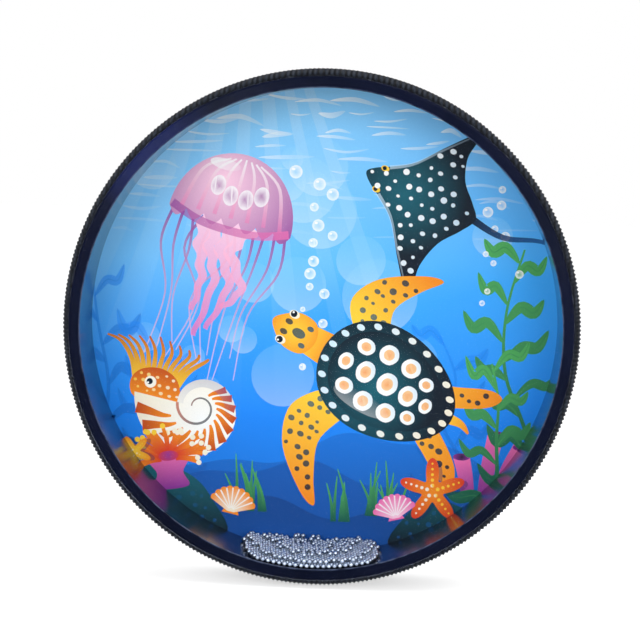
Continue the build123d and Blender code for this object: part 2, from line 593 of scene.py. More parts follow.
@dataclass(frozen=True)
class WhiteSweep(Finish):
    """The studio floor, white to the camera and in reflections, which keeps the drum's shadow."""

    name: str = "white_sweep"
    colour: Colour = (0.82, 0.82, 0.82, 1.0)
    mottle: Colour = (0.75, 0.75, 0.75, 1.0)
    mottle_share: float = 0.03
    lift: float = 0.6

    def surface(self, graph: Graph) -> Signal:
        """Adds the nodes of the floor.

        Args:
            graph: The material's tree.
        Returns:
            The shader.
        """
        paper = graph.mix(graph.noise(40.0, 3.0) * self.mottle_share, self.colour, self.mottle)
        matt = graph.signal("ShaderNodeBsdfDiffuse", {}, {"Color": paper})
        glow_inputs = {"Color": WHITE, "Strength": graph.seen() * self.lift}
        glow = graph.signal("ShaderNodeEmission", {}, glow_inputs)
        return graph.signal("ShaderNodeAddShader", {}, {0: matt, 1: glow})


def keep_mesh(
    name: str,
    mesh: bpy.types.Mesh,
    material: bpy.types.Material,
    sharp: float | None = None,
) -> bpy.types.Object:
    """Makes an object of a finished mesh, smooth except at its sharp corners.

    Args:
        name: The piece's name.
        mesh: Its mesh, in place.
        material: Its only material.
        sharp: Corners sharper than this many degrees stay sharp, none if not given.
    Returns:
        The object, in the scene.
    """
    mesh.name = name
    mesh.materials.clear()
    mesh.materials.append(material)
    mesh.polygons.foreach_set("use_smooth", [True] * len(mesh.polygons))
    if sharp is not None:
        mesh.set_sharp_from_angle(angle=math.radians(sharp))
    piece = bpy.data.objects.new(name, mesh)
    bpy.context.scene.collection.objects.link(piece)
    return piece


def settle(piece: bpy.types.Object, body: str, slot: str, *nodes: str) -> bpy.types.Object:
    """Gives a piece its body and hides the CAD nodes that it stands for.

    Args:
        piece: The finished piece.
        body: The body that it rides on.
        slot: The record's material slot; not used.
        nodes: The CAD nodes that it replaces.
    Returns:
        The piece.
    """
    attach(piece, body)
    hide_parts(*nodes)
    log.info("%s rides on %s: %d faces", piece.name, body, len(piece.data.polygons))
    return piece


def turned(section: Outline, segments: int) -> bpy.types.Mesh:
    """Turns a closed section about the drum's axis.

    Args:
        section: Radius and depth of each corner in millimetres, where a radius of 0 is a pole.
        segments: Number of steps round the axis.
    Returns:
        A closed mesh with outward faces.
    """
    corners: list[tuple[float, float, float]] = []
    rings: list[list[int]] = []
    for radius, depth in section:
        steps = segments if radius > 0 else 1
        ring = []
        for step in range(steps):
            turn = math.tau * step / segments
            ring.append(len(corners))
            corners.append((radius * MM * math.cos(turn), depth * MM, radius * MM * math.sin(turn)))
        rings.append(ring)
    faces = []
    for first, second in zip(rings, rings[1:] + rings[:1]):
        for step in range(segments):
            after = step + 1
            face = [
                first[step % len(first)],
                first[after % len(first)],
                second[after % len(second)],
                second[step % len(second)],
            ]
            face = list(dict.fromkeys(face))
            if len(face) > 2:
                faces.append(face)
    mesh = bpy.data.meshes.new("turned")
    mesh.from_pydata(corners, [], faces)
    face_outwards(mesh)
    return mesh


def face_outwards(mesh: bpy.types.Mesh) -> None:
    """Turns all faces of a closed mesh outwards.

    Args:
        mesh: The mesh to change.
    """
    work = bmesh.new()
    work.from_mesh(mesh)
    bmesh.ops.recalc_face_normals(work, faces=work.faces)
    work.to_mesh(mesh)
    work.free()
    mesh.update()


def rounded(corner: Point, before: float, after: float, radius: float, steps: int) -> Outline:
    """Draws an arc from one direction to another, in degrees.

    Args:
        corner: Middle of the circle.
        before: Angle of the first point.
        after: Angle of the last point.
        radius: Radius of the circle.
        steps: Number of parts.
    Returns:
        The points, both ends included.
    """
    points = []
    for step in range(steps + 1):
        turn = math.radians(before + (after - before) * step / steps)
        points.append((corner[0] + radius * math.cos(turn), corner[1] + radius * math.sin(turn)))
    return points


class GrowKind(Enum):
    """Socket types of the inputs of a Geometry Nodes tree."""

    LENGTH = "NodeSocketFloat"
    COUNT = "NodeSocketInt"
    MATERIAL = "NodeSocketMaterial"


class Growth:
    """A Geometry Nodes tree with named inputs, run once on a host and kept as a plain mesh."""

    def __init__(self, name: str) -> None:
        """Makes the tree with its geometry input and output."""
        self.name = name
        self.tree = bpy.data.node_groups.new(name, "GeometryNodeTree")
        self.tree.interface.new_socket("Geometry", in_out="INPUT", socket_type="NodeSocketGeometry")
        self.tree.interface.new_socket("Geometry", in_out="OUTPUT", socket_type="NodeSocketGeometry")
        self.graph = Graph(self.tree)
        self.values: dict[str, Any] = {}
        self.start = self.graph.node("NodeGroupInput")

    def input(self, name: str, kind: GrowKind, value: Any) -> Signal:
        """Adds a named input with its value.

        Args:
            name: The input's name.
            kind: Its socket type.
            value: What it is set to on the host.
        Returns:
            The input inside the tree.
        """
        socket = self.tree.interface.new_socket(name, in_out="INPUT", socket_type=kind.value)
        self.values[socket.identifier] = value
        return Signal(self.graph, self.start.outputs[name])

    def end(self, geometry: Signal, material: Signal) -> None:
        """Ends the tree in Realize Instances and Set Material.

        Args:
            geometry: What the tree made.
            material: The material input.
        """
        real = self.graph.signal("GeometryNodeRealizeInstances", {}, {"Geometry": geometry})
        dressed = self.graph.signal("GeometryNodeSetMaterial", {}, {"Geometry": real, "Material": material})
        self.graph.node("NodeGroupOutput", {}, {"Geometry": dressed})

    def run(self, host_mesh: bpy.types.Mesh) -> bpy.types.Mesh:
        """Runs the tree on a host mesh.

        Args:
            host_mesh: The mesh that the tree takes in.
        Returns:
            The result as a plain mesh.
        """
        host = bpy.data.objects.new(self.name, host_mesh)
        bpy.context.scene.collection.objects.link(host)
        modifier = host.modifiers.new(self.name, "NODES")
        modifier.node_group = self.tree
        for identifier, value in self.values.items():
            modifier[identifier] = value
        host.update_tag()
        layer = bpy.context.evaluated_depsgraph_get()
        mesh = bpy.data.meshes.new_from_object(host.evaluated_get(layer), depsgraph=layer)
        bpy.data.objects.remove(host)
        bpy.data.meshes.remove(host_mesh)
        return mesh


@dataclass
class Studio:
    """Camera, white floor, soft lights and white surroundings."""

    azimuth: float = 1.92
    elevation: float = 4.94
    roll: float = 2.0
    distance: float = 1.2617
    aim_right: float = -0.00118
    aim_up: float = 0.00297
    lens: float = 143.3
    sensor_width: float = 36.0
    clip: Point = (0.05, 20.0)
    floor_height: float = -0.1275
    floor_reach: float = 4.0
    lamp_size: float = 0.8
    room_strength: float = 0.6

    def build(self) -> None:
        """Sets up the camera, the lights, the floor and the surroundings."""
        self.camera()
        self.lamp("key_light", (-0.5, -1.6, 0.4), 10.0)
        self.lamp("fill_light", (0.62, -1.55, 0.34), 7.5)
        self.lamp("top_light", (0.5, -0.4, 1.1), 4.5)
        self.floor()
        self.surroundings()
        bpy.context.scene.view_settings.view_transform = "Standard"

    def camera(self) -> None:
        """Places the camera at the photograph's viewing angle."""
        side, rise = math.radians(self.azimuth), math.radians(self.elevation)
        back = Vector((math.sin(side) * math.cos(rise), -math.cos(side) * math.cos(rise), math.sin(rise)))
        right = Vector((math.cos(side), math.sin(side), 0.0))
        up = back.cross(right)
        aim = right * self.aim_right + up * self.aim_up
        lean = math.radians(self.roll)
        across = right * math.cos(lean) + up * math.sin(lean)
        upward = up * math.cos(lean) - right * math.sin(lean)
        data = bpy.data.cameras.new("camera")
        data.lens = self.lens
        data.sensor_width = self.sensor_width
        data.clip_start, data.clip_end = self.clip
        camera = bpy.data.objects.new("camera", data)
        bpy.context.scene.collection.objects.link(camera)
        turn = Matrix((across, upward, back)).transposed().to_4x4()
        camera.matrix_world = Matrix.Translation(aim + back * self.distance) @ turn
        bpy.context.scene.camera = camera

    def lamp(self, name: str, place: tuple[float, float, float], power: float) -> None:
        """Adds a square soft light that faces the drum.

        Args:
            name: The light's name.
            place: Where it stands.
            power: Its power in watts.
        """
        data = bpy.data.lights.new(name, "AREA")
        data.shape = "SQUARE"
        data.size = self.lamp_size
        data.energy = power
        lamp = bpy.data.objects.new(name, data)
        lamp.location = place
        lamp.rotation_euler = (-Vector(place)).to_track_quat("-Z", "Y").to_euler()
        bpy.context.scene.collection.objects.link(lamp)

    def floor(self) -> None:
        """Lays the floor that the drum stands on."""
        mesh = bpy.data.meshes.new("floor")
        reach = self.floor_reach
        corners = [(-reach, -reach), (reach, -reach), (reach, reach), (-reach, reach)]
        mesh.from_pydata([(x, y, self.floor_height) for x, y in corners], [], [(0, 1, 2, 3)])
        keep_mesh("floor", mesh, WhiteSweep().material())

    def surroundings(self) -> None:
        """Makes the world white to the camera and in reflections, and a soft even light elsewhere."""
        world = bpy.data.worlds.new("surroundings")
        world.use_nodes = True
        world.node_tree.nodes.clear()
        bpy.context.scene.world = world
        graph = Graph(world.node_tree)
        strength = self.room_strength + graph.seen() * (1.0 - self.room_strength)
        light = graph.signal("ShaderNodeBackground", {}, {"Color": WHITE, "Strength": strength})
        graph.node("ShaderNodeOutputWorld", {}, {"Surface": light})


@dataclass
class Shell:
    """The lacquered hoop, the two heads over its edges and the foam strip round its side, in millimetres."""

    inner_radius: float = 117.514
    outer_radius: float = 123.214
    half_depth: float = 24.75
    bevel: float = 0.4
    shoulder: float = 1.6
    film: float = 0.25
    lie: float = 0.03
    seat: float = 0.05
    collar_length: float = 11.0
    pad_inner: float = 123.264
    pad_outer: float = 125.65
    pad_half_width: float = 11.8
    pad_round: float = 0.8
    head_rings: tuple[float, ...] = (0.0, 40.0, 80.0, 110.0)
    segments: int = 360
    shoulder_steps: int = 8
    head_steps: int = 10
    pad_steps: int = 5
    corner: float = 40.0

    def build(self) -> None:
        """Builds and dresses the hoop, both heads and the foam strip."""
        for name, section, finish, node in (
            ("shell_hoop", self.hoop_section(), NavyLacquer(), "shell"),
            ("clear_head", self.head_section(-1), ClearFilm(), "front_head"),
            ("white_head", self.head_section(1), WhiteFilm(), "rear_head"),
            ("foam_strip", self.pad_section(), BlackFoam(), "foam_pad"),
        ):
            mesh = turned(section, self.segments)
            piece = keep_mesh(name, mesh, finish.material(), self.corner)
            settle(piece, "drum", finish.name, node)

    def hoop_section(self) -> Outline:
        """Draws the section of the hoop.

        Returns:
            Radius and depth of its corners.
        """
        edge = self.half_depth
        bend = self.shoulder
        points = [(self.inner_radius, -edge + self.bevel), (self.inner_radius + self.bevel, -edge)]
        points += rounded((self.outer_radius - bend, -edge + bend), -90, 0, bend, self.shoulder_steps)
        points += rounded((self.outer_radius - bend, edge - bend), 0, 90, bend, self.shoulder_steps)
        points += [(self.inner_radius + self.bevel, edge), (self.inner_radius, edge - self.bevel)]
        return points

    def head_section(self, facing: int) -> Outline:
        """Draws the section of a head, from the middle of its outer face round to that of its inner face.

        Args:
            facing: -1 for the front, 1 for the rear.
        Returns:
            Radius and depth of its corners.
        """
        inner = self.outer_radius + self.seat
        outer = inner + self.film
        face = self.half_depth + self.lie
        bend_in = self.shoulder + self.seat - self.lie
        bend_out = bend_in + self.film
        middle = (inner - bend_in, face - bend_in)
        end = self.half_depth + self.film - self.collar_length
        points = [(radius, self.half_depth + self.film) for radius in self.head_rings]
        points += rounded(middle, 90, 0, bend_out, self.head_steps)
        points += [(outer, end), (inner, end)]
        points += rounded(middle, 0, 90, bend_in, self.head_steps)
        points += [(radius, face) for radius in reversed(self.head_rings)]
        return [(radius, facing * depth) for radius, depth in points]

    def pad_section(self) -> Outline:
        """Draws the section of the foam strip, with soft outer corners.

        Returns:
            Radius and depth of its corners.
        """
        edge = self.pad_half_width
        soft = self.pad_round
        points = [(self.pad_inner, -edge)]
        points += rounded((self.pad_outer - soft, -edge + soft), -90, 0, soft, self.pad_steps)
        points += rounded((self.pad_outer - soft, edge - soft), 0, 90, soft, self.pad_steps)
        points.append((self.pad_inner, edge))
        return points


@dataclass
class Webbing:
    """The woven strip round the side: flat in the middle, rounded down to its edges, butted below.

    proud is the share of the weave that lies under the solid face. From edge_start to 1, as shares of the
    half width, the face is rounded down. rib_nudge keeps a column between two ribs in one of them.
    """

    crown_radius: float = 0.127
    half_flat: float = 0.012
    arc_radius: float = 0.025625
    arc_sweep: float = math.radians(24.19)
    thickness: float = 0.0013
    seam_gap: float = 0.0001
    rib_count: int = 24
    rib_power: float = 0.7
    rib_nudge: float = 0.001
    bump_count: int = 376
    bump_rows: int = 4
    bump_height: float = 0.0008
    twill: float = 0.05
    proud: float = 0.85
    edge_start: float = 0.95
    edge_drop: float = 0.9
    back_columns: int = 4
    weld: float = 0.00001
    corner: float = 60.0

    def build(self) -> None:
        """Grows the strip, closes its ends and dresses it."""
        yarn = WebbingYarn().material()
        mesh = self.grow(yarn)
        work = bmesh.new()
        work.from_mesh(mesh)
        open_edges = [edge for edge in work.edges if edge.is_boundary]
        bmesh.ops.holes_fill(work, edges=open_edges)
        bmesh.ops.recalc_face_normals(work, faces=work.faces)
        work.to_mesh(mesh)
        work.free()
        strip = keep_mesh("woven_side", mesh, yarn, self.corner)
        settle(strip, "drum", "black_webbing", "side_webbing")

    def width(self) -> float:
        """Gives the strip's width along its curve."""
        return 2 * (self.half_flat + self.arc_radius * self.arc_sweep)

    def grow(self, material: bpy.types.Material) -> bpy.types.Mesh:
        """Makes the strip with Geometry Nodes.

        Args:
            material: The yarn's material.
        Returns:
            The strip, open at its two ends.
        """
        growth = Growth("woven_strip")
        graph = growth.graph
        sizes = {
            "crown": growth.input("Crown Radius", GrowKind.LENGTH, self.crown_radius),
            "flat": growth.input("Half Flat", GrowKind.LENGTH, self.half_flat),
            "arc": growth.input("Arc Radius", GrowKind.LENGTH, self.arc_radius),
            "half": growth.input("Half Width", GrowKind.LENGTH, self.width() / 2),
            "gap": growth.input("Seam Gap", GrowKind.LENGTH, self.seam_gap),
            "thick": growth.input("Thickness", GrowKind.LENGTH, self.thickness),
            "height": growth.input("Bump Height", GrowKind.LENGTH, self.bump_height),
            "bumps": growth.input("Bump Count", GrowKind.COUNT, self.bump_count),
            "ribs": growth.input("Rib Count", GrowKind.COUNT, self.rib_count),
        }
        yarn = growth.input("Yarn", GrowKind.MATERIAL, material)
        faces = (
            (2 * self.rib_count, (-1.0, 1.0), (0.0, 0.0), True),
            (self.back_columns, (1.0, -1.0), (1.0, 1.0), False),
            (1, (1.0, 1.0), (self.edge_drop, 1.0), False),
            (1, (-1.0, -1.0), (1.0, self.edge_drop), False),
        )
        joined = graph.node("GeometryNodeJoinGeometry")
        for columns, across, depth, woven in faces:
            side = self.side(graph, sizes, columns, across, depth, woven)
            growth.tree.links.new(side.socket, joined.inputs[0])
        merge = {"Geometry": Signal(graph, joined.outputs[0]), "Distance": self.weld}
        growth.end(graph.signal("GeometryNodeMergeByDistance", {}, merge), yarn)
        return growth.run(bpy.data.meshes.new("woven_strip_host"))

    def side(
        self,
        graph: Graph,
        sizes: dict[str, Signal],
        columns: int,
        across: Point,
        depth: Point,
        woven: bool,
    ) -> Signal:
        """Adds one of the strip's four faces: a grid wrapped round the drum.

        Args:
            graph: The Geometry Nodes tree.
            sizes: The strip's size inputs.
            columns: Number of columns across the face.
            across: Where the face starts and ends across the strip, from -1 to 1.
            depth: How deep it starts and ends, from 0 outside to 1 inside, if it isn't woven.
            woven: Whether it has the weave's bumps and is rounded down at its edges.
        Returns:
            The face.
        """
        rows = self.bump_rows * self.bump_count + 1
        grid_inputs = {"Size X": 1.0, "Size Y": 1.0, "Vertices X": rows, "Vertices Y": columns + 1}
        grid = graph.signal("GeometryNodeMeshGrid", {}, grid_inputs, "Mesh")
        x, y, _ = graph.parts(graph.signal("GeometryNodeInputPosition"))
        along = x + 0.5
        share = y + 0.5
        place = across[0] + share * (across[1] - across[0])
        sunk = depth[0] + share * (depth[1] - depth[0])
        reach = graph.math("ABSOLUTE", place) * sizes["half"]
        turn = graph.math("MAXIMUM", reach - sizes["flat"], 0.0) / sizes["arc"]
        bump: Signal | float = 0.0
        if woven:
            rib = (place + 1) * 0.5 * sizes["ribs"]
            row = graph.math("FLOOR", rib + self.rib_nudge)
            crest = graph.math("ABSOLUTE", graph.math("SINE", rib * math.pi)) ** self.rib_power
            wave = graph.math("COSINE", (along * sizes["bumps"] + row * self.twill) * math.tau)
            bump = crest * (0.5 + 0.5 * wave)
            sunk = self.edge_drop * graph.smooth(graph.math("ABSOLUTE", place), self.edge_start, 1.0)
        lift = (bump - self.proud) * sizes["height"] * (1 - sunk) - sunk * sizes["thick"]
        radius = sizes["crown"] - sizes["arc"] * (1 - graph.math("COSINE", turn))
        radius = radius + lift * graph.math("COSINE", turn)
        level = graph.math("MINIMUM", reach, sizes["flat"])
        level = (level + (sizes["arc"] + lift) * graph.math("SINE", turn)) * graph.math("SIGN", place)
        gap_turn = sizes["gap"] / sizes["crown"]
        angle = along * (math.tau - gap_turn) + gap_turn * 0.5 - math.pi / 2
        spot = graph.vector(radius * graph.math("COSINE", angle), level, radius * graph.math("SINE", angle))
        wrapped = graph.signal("GeometryNodeSetPosition", {}, {"Geometry": grid, "Position": spot})
        thread = graph.vector(along * math.tau * sizes["crown"], place * sizes["half"], bump)
        settings = {"data_type": "FLOAT_VECTOR", "domain": "POINT"}
        kept = {"Geometry": wrapped, "Name": WebbingYarn.attribute_name, "Value": thread}
        return graph.signal("GeometryNodeStoreNamedAttribute", settings, kept)


@dataclass
class Balls:
    """The loose steel balls, a set for each body that they move with.

    radius_share is a little over half, because the flat facets of a light ball lie inside its round.
    """

    diameter: float = 0.0025
    radius_share: float = 0.51
    subdivisions: int = 2
    weld: float = 0.00002
    gather: float = 0.0003
    nodes_each: int = 3
    bands: tuple[str, ...] = ("front", "middle", "rear")
    kinds: tuple[str, ...] = ("rolling", "washing")

    def build(self) -> None:
        """Grows a set of balls for each ball body."""
        steel = BallSteel().material()
        for number, band in enumerate(self.bands):
            for kind in self.kinds:
                first = number * self.nodes_each + 1
                nodes = [f"{kind}_balls_{first + step}" for step in range(self.nodes_each)]
                mesh = self.grow(nodes, steel)
                piece = keep_mesh(f"{band}_{kind}_ball_set", mesh, steel)
                settle(piece, f"{band}_{kind}_balls", "ball_steel", *nodes)

    def grow(self, nodes: list[str], steel: bpy.types.Material) -> bpy.types.Mesh:
        """Puts a light round ball on the middle of each CAD ball.

        Args:
            nodes: The CAD nodes that hold the balls.
            steel: The balls' material.
        Returns:
            The balls as one mesh.
        """
        work = bmesh.new()
        for node in nodes:
            work.from_mesh(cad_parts[node].data)
        host_mesh = bpy.data.meshes.new("ball_host")
        work.to_mesh(host_mesh)
        work.free()
        growth = Growth("ball_set")
        graph = growth.graph
        diameter = growth.input("Diameter", GrowKind.LENGTH, self.diameter)
        material = growth.input("Steel", GrowKind.MATERIAL, steel)
        start = Signal(graph, growth.start.outputs["Geometry"])
        merge = "GeometryNodeMergeByDistance"
        solid = graph.signal(merge, {}, {"Geometry": start, "Distance": self.weld})
        island = graph.signal("GeometryNodeInputMeshIsland", {}, {}, "Island Index")
        place = graph.signal("GeometryNodeInputPosition")
        add_up = "GeometryNodeAccumulateField"
        settings = {"data_type": "FLOAT_VECTOR"}
        total = graph.signal(add_up, settings, {"Value": place, "Group ID": island}, "Total")
        count = graph.signal(add_up, {}, {"Value": 1.0, "Group ID": island}, "Total")
        scale = {0: total, "Scale": 1 / count}
        middle = graph.signal("ShaderNodeVectorMath", {"operation": "SCALE"}, scale)
        gathered = graph.signal("GeometryNodeSetPosition", {}, {"Geometry": solid, "Position": middle})
        points = graph.signal(merge, {}, {"Geometry": gathered, "Distance": self.gather})
        round_inputs = {"Radius": diameter * self.radius_share, "Subdivisions": self.subdivisions}
        ball = graph.signal("GeometryNodeMeshIcoSphere", {}, round_inputs, "Mesh")
        placed = graph.signal("GeometryNodeInstanceOnPoints", {}, {"Points": points, "Instance": ball})
        growth.end(placed, material)
        return growth.run(host_mesh)


def oval(width: float, height: float, middle: Point = (0.0, 0.0), count: int = 28) -> Outline:
    """Draws an oval.

    Args:
        width: Full width.
        height: Full height.
        middle: Its middle.
        count: Number of points.
    Returns:
        The outline.
    """
    turns = [math.tau * step / count for step in range(count)]
    return [(middle[0] + width / 2 * math.cos(t), middle[1] + height / 2 * math.sin(t)) for t in turns]


def curve(points: Outline, closed: bool = True, steps: int = 6) -> Outline:
    """Draws a smooth curve through points.

    Args:
        points: The points that it goes through.
        closed: Whether it returns to the first point.
        steps: Number of parts between two points.
    Returns:
        The points of the curve.
    """
    count = len(points)
    made = []
    for number in range(count if closed else count - 1):
        knots = []
        for offset in (-1, 0, 1, 2):
            index = (number + offset) % count if closed else min(max(number + offset, 0), count - 1)
            knots.append(points[index])
        a, b, c, d = (np.array(knot) for knot in knots)
        for step in range(steps):
            t = step / steps
            square = t**2 * (2 * a - 5 * b + 4 * c - d) / 2
            cube = t**3 * (3 * (b - c) + d - a) / 2
            spot = b + t * (c - a) / 2 + square + cube
            made.append((float(spot[0]), float(spot[1])))
    if not closed:
        made.append(points[-1])
    return made


LENS_TIP = 0.04
LENS_POWER = 0.8
RUFFLE_DEPTH = 0.35


def ribbon(points: Outline, first: float, last: float, lens: bool = False, ruffles: float = 0.0) -> Outline:
    """Draws a band along a smooth open curve.

    Args:
        points: The points that its middle goes through.
        first: Width at the first point, or the widest width of a lens.
        last: Width at the last point.
        lens: Whether it thins out to both ends.
        ruffles: Number of waves along its edges.
    Returns:
        The outline.
    """
    line = np.array(curve(points, closed=False, steps=6 if ruffles == 0 else 12))
    slope = np.gradient(line, axis=0)
    slope /= np.linalg.norm(slope, axis=1)[:, None]
    normal = np.stack((-slope[:, 1], slope[:, 0]), axis=1)
    share = np.linspace(0, 1, len(line))
    if lens:
        width = LENS_TIP + first * np.sin(math.pi * share) ** LENS_POWER
    else:
        width = first + (last - first) * share
    wave = RUFFLE_DEPTH * np.sin(math.tau * ruffles * share)
    left = line + normal * (width * (1 + wave) / 2)[:, None]
    right = line - normal * (width * (1 - wave) / 2)[:, None]
    return [tuple(spot) for spot in (*left.tolist(), *right[::-1].tolist())]


def holds(outline: Outline, spot: Point) -> bool:
    """Tells whether a point lies inside an outline.

    Args:
        outline: A closed outline.
        spot: The point.
    Returns:
        True if it lies inside.
    """
    inside = False
    for (u1, v1), (u2, v2) in zip(outline, outline[1:] + outline[:1]):
        if (v1 > spot[1]) != (v2 > spot[1]) and spot[0] < u1 + (u2 - u1) * (spot[1] - v1) / (v2 - v1):
            inside = not inside
    return inside


class Ink(Enum):
    """Printing colours, as a screen shows them."""

    SHALLOW = (150, 218, 255)
    WATER = (68, 178, 255)
    BLUE = (28, 136, 246)
    DEEP = (22, 82, 164)
    NIGHT = (12, 40, 88)
    WHITE = (250, 252, 252)
    FOAM = (206, 232, 250)
    BLUSH = (252, 206, 228)
    PINK = (234, 112, 174)
    PLUM = (138, 56, 150)
    YELLOW = (250, 206, 62)
    ORANGE = (241, 140, 36)
    RUST = (190, 74, 30)
    RED = (216, 60, 40)
    CREAM = (246, 238, 216)
    TEAL = (26, 96, 112)
    INK = (12, 26, 40)
    LEAF = (78, 168, 92)
    MOSS = (22, 88, 76)

    def linear(self) -> np.ndarray:
        """Gives the linear red, green and blue."""
        return np.array(shown(*self.value)[:3])


@dataclass(frozen=True)
class Wash:
    """A coat of ink that fades from one colour and cover to another, along a line or outward."""

    first: Ink
    last: Ink
    start: Point = (0.0, 0.0)
    end: Point = (1.0, 0.0)
    cover: Point = (1.0, 1.0)
    outward: bool = False

    def lay(self, spots: np.ndarray, under: np.ndarray) -> np.ndarray:
        """Lays the coat over the colours below it.

        Args:
            spots: Places on the sheet.
            under: Their colours so far.
        Returns:
            Their new colours.
        """
        start = np.array(self.start)
        line = np.array(self.end) - start
        reach = float(np.hypot(line[0], line[1]))
        if self.outward:
            share = np.linalg.norm(spots - start, axis=1) / reach
        else:
            share = (spots - start) @ line / reach**2
        share = np.clip(share, 0.0, 1.0)[:, None]
        colour = self.first.linear() * (1 - share) + self.last.linear() * share
        cover = self.cover[0] * (1 - share) + self.cover[1] * share
        return under * (1 - cover) + colour * cover


Coat = tuple[Outline, Wash]


@dataclass(frozen=True)
class Spot:
    """Where a motif stands on the sheet: place, turn in degrees and size."""

    u: float = 0.0
    v: float = 0.0
    turn: float = 0.0
    size: float = 1.0

    def point(self, point: Point) -> Point:
        """Moves a point of the motif to its place on the sheet.

        Args:
            point: The point in the motif's own measure.
        Returns:
            The point on the sheet.
        """
        cos, sin = math.cos(math.radians(self.turn)), math.sin(math.radians(self.turn))
        x, y = point[0] * self.size, point[1] * self.size
        return (self.u + x * cos - y * sin, self.v + x * sin + y * cos)


@dataclass
class Sheet:
    """The printed sheet: shapes laid over each other, cut into one flat mesh and coloured."""

    radius: float = 117.66
    front: float = 24.6
    back: float = 24.75
    grid_step: float = 2.4
    row_rise: float = 0.866
    rim_share: float = 0.9999
    weld: float = 1e-4
    coats: list[Coat] = field(default_factory=list)

    def mesh(self) -> bpy.types.Mesh:
        """Cuts the sheet along all outlines and colours each corner of each face.

        Returns:
            The closed sheet with its colour attribute.
        """
        spots, faces, owners = self.cut()
        corners = np.array(faces).reshape(-1)
        where = spots[corners]
        colours = np.zeros((len(corners), 3))
        members: list[list[int]] = [[] for _ in self.coats]
        for face, owner in enumerate(owners):
            for coat in owner:
                members[coat].append(face)
        for (_, wash), face_list in zip(self.coats, members):
            if face_list:
                picked = (np.array(face_list)[:, None] * 3 + np.arange(3)).reshape(-1)
                colours[picked] = wash.lay(where[picked], colours[picked])
        return self.closed(spots, faces, colours)

    def cut(self) -> tuple[np.ndarray, list[list[int]], list[list[int]]]:
        """Cuts the disc into triangles along all outlines.

        Returns:
            Places of the corners, corners of each triangle, and the coats that each triangle lies in.
        """
        points: list[Vector] = []
        shapes: list[list[int]] = []
        for outline, _ in self.coats:
            shapes.append(list(range(len(points), len(points) + len(outline))))
            points += [Vector(point) for point in outline]
        rows = int(self.radius / self.grid_step)
        for row in range(-rows, rows + 1):
            for column in range(-rows, rows + 1):
                u = (column + 0.5 * (row % 2)) * self.grid_step
                v = row * self.grid_step * self.row_rise
                if math.hypot(u, v) < self.radius - self.grid_step / 2:
                    points.append(Vector((u, v)))
        places, _, faces, _, _, owners = delaunay_2d_cdt(points, [], shapes, 1, self.weld, True)
        kept = [number for number, owner in enumerate(owners) if 0 in owner]
        used = sorted({corner for number in kept for corner in faces[number]})
        renumbered = {old: new for new, old in enumerate(used)}
        spots = np.array([places[old] for old in used])
        triangles = [[renumbered[corner] for corner in faces[number]] for number in kept]
        return spots, triangles, [owners[number] for number in kept]

    def closed(self, spots: np.ndarray, faces: list[list[int]], colours: np.ndarray) -> bpy.types.Mesh:
        """Gives the cut sheet its thickness.

        Args:
            spots: Places of the corners.
            faces: The printed triangles.
            colours: Colour of each corner of each triangle.
        Returns:
            The closed mesh.
        """
        corners = [(u * MM, self.front * MM, v * MM) for u, v in spots.tolist()]
        distance = np.linalg.norm(spots, axis=1)
        rim = [index for index in range(len(spots)) if distance[index] > self.radius * self.rim_share]
        rim.sort(key=lambda index: math.atan2(spots[index][1], spots[index][0]))
        behind = {index: len(corners) + number for number, index in enumerate(rim)}
        corners += [(spots[index][0] * MM, self.back * MM, spots[index][1] * MM) for index in rim]
        middle = len(corners)
        corners.append((0.0, self.back * MM, 0.0))
        plain = []
        for one, other in zip(rim, rim[1:] + rim[:1]):
            plain.append([other, one, behind[one], behind[other]])
            plain.append([behind[other], behind[one], middle])
        mesh = bpy.data.meshes.new("picture")
        mesh.from_pydata(corners, [], faces + plain)
        paper = Ink.WHITE.linear()
        rest = len(mesh.loops) - len(colours)
        full = np.concatenate((colours, np.tile(paper, (rest, 1))))
        inks = mesh.color_attributes.new(PictureInk.attribute_name, "FLOAT_COLOR", "CORNER")
        inks.data.foreach_set("color", np.hstack((full, np.ones((len(full), 1)))).reshape(-1))
        return mesh


@dataclass
class Motif:
    """Something drawn on the sheet, as coats of ink at its own spot."""

    spot: Spot = Spot()
    coats: list[Coat] = field(init=False, default_factory=list)

    def draw(self) -> None:
        """Paints the motif."""
        raise NotImplementedError

    def paint(self, outline: Outline, wash: Wash) -> None:
        """Adds a shape over those before it.

        Args:
            outline: Its outline in the motif's own measure.
            wash: Its ink, in the same measure.
        """
        placed = [self.spot.point(point) for point in outline]
        area = sum(a[0] * b[1] - b[0] * a[1] for a, b in zip(placed, placed[1:] + placed[:1]))
        if area < 0:
            placed.reverse()
        moved = replace(wash, start=self.spot.point(wash.start), end=self.spot.point(wash.end))
        self.coats.append((placed, moved))

    def dots(self, outline: Outline, step: float, size: float, seed: int) -> list[Outline]:
        """Scatters small dots inside an outline.

        Args:
            outline: The outline.
            step: Rough distance between dots.
            size: Rough size of a dot.
            seed: Fixes the scatter.
        Returns:
            The outlines of the dots.
        """
        dice = random.Random(seed)
        low = np.min(outline, axis=0)
        high = np.max(outline, axis=0)
        made = []
        for row in range(int((high[1] - low[1]) / step) + 1):
            for column in range(int((high[0] - low[0]) / step) + 1):
                u = low[0] + (column + 0.5 * (row % 2)) * step + dice.uniform(-0.2, 0.2) * step
                v = low[1] + row * step + dice.uniform(-0.2, 0.2) * step
                width = size * dice.uniform(0.6, 1.2)
                edge = oval(width * 1.5, width * 1.5, (u, v), 8)
                if all(holds(outline, point) for point in edge):
                    made.append(oval(width, width * dice.uniform(0.75, 1.0), (u, v), 12))
        return made


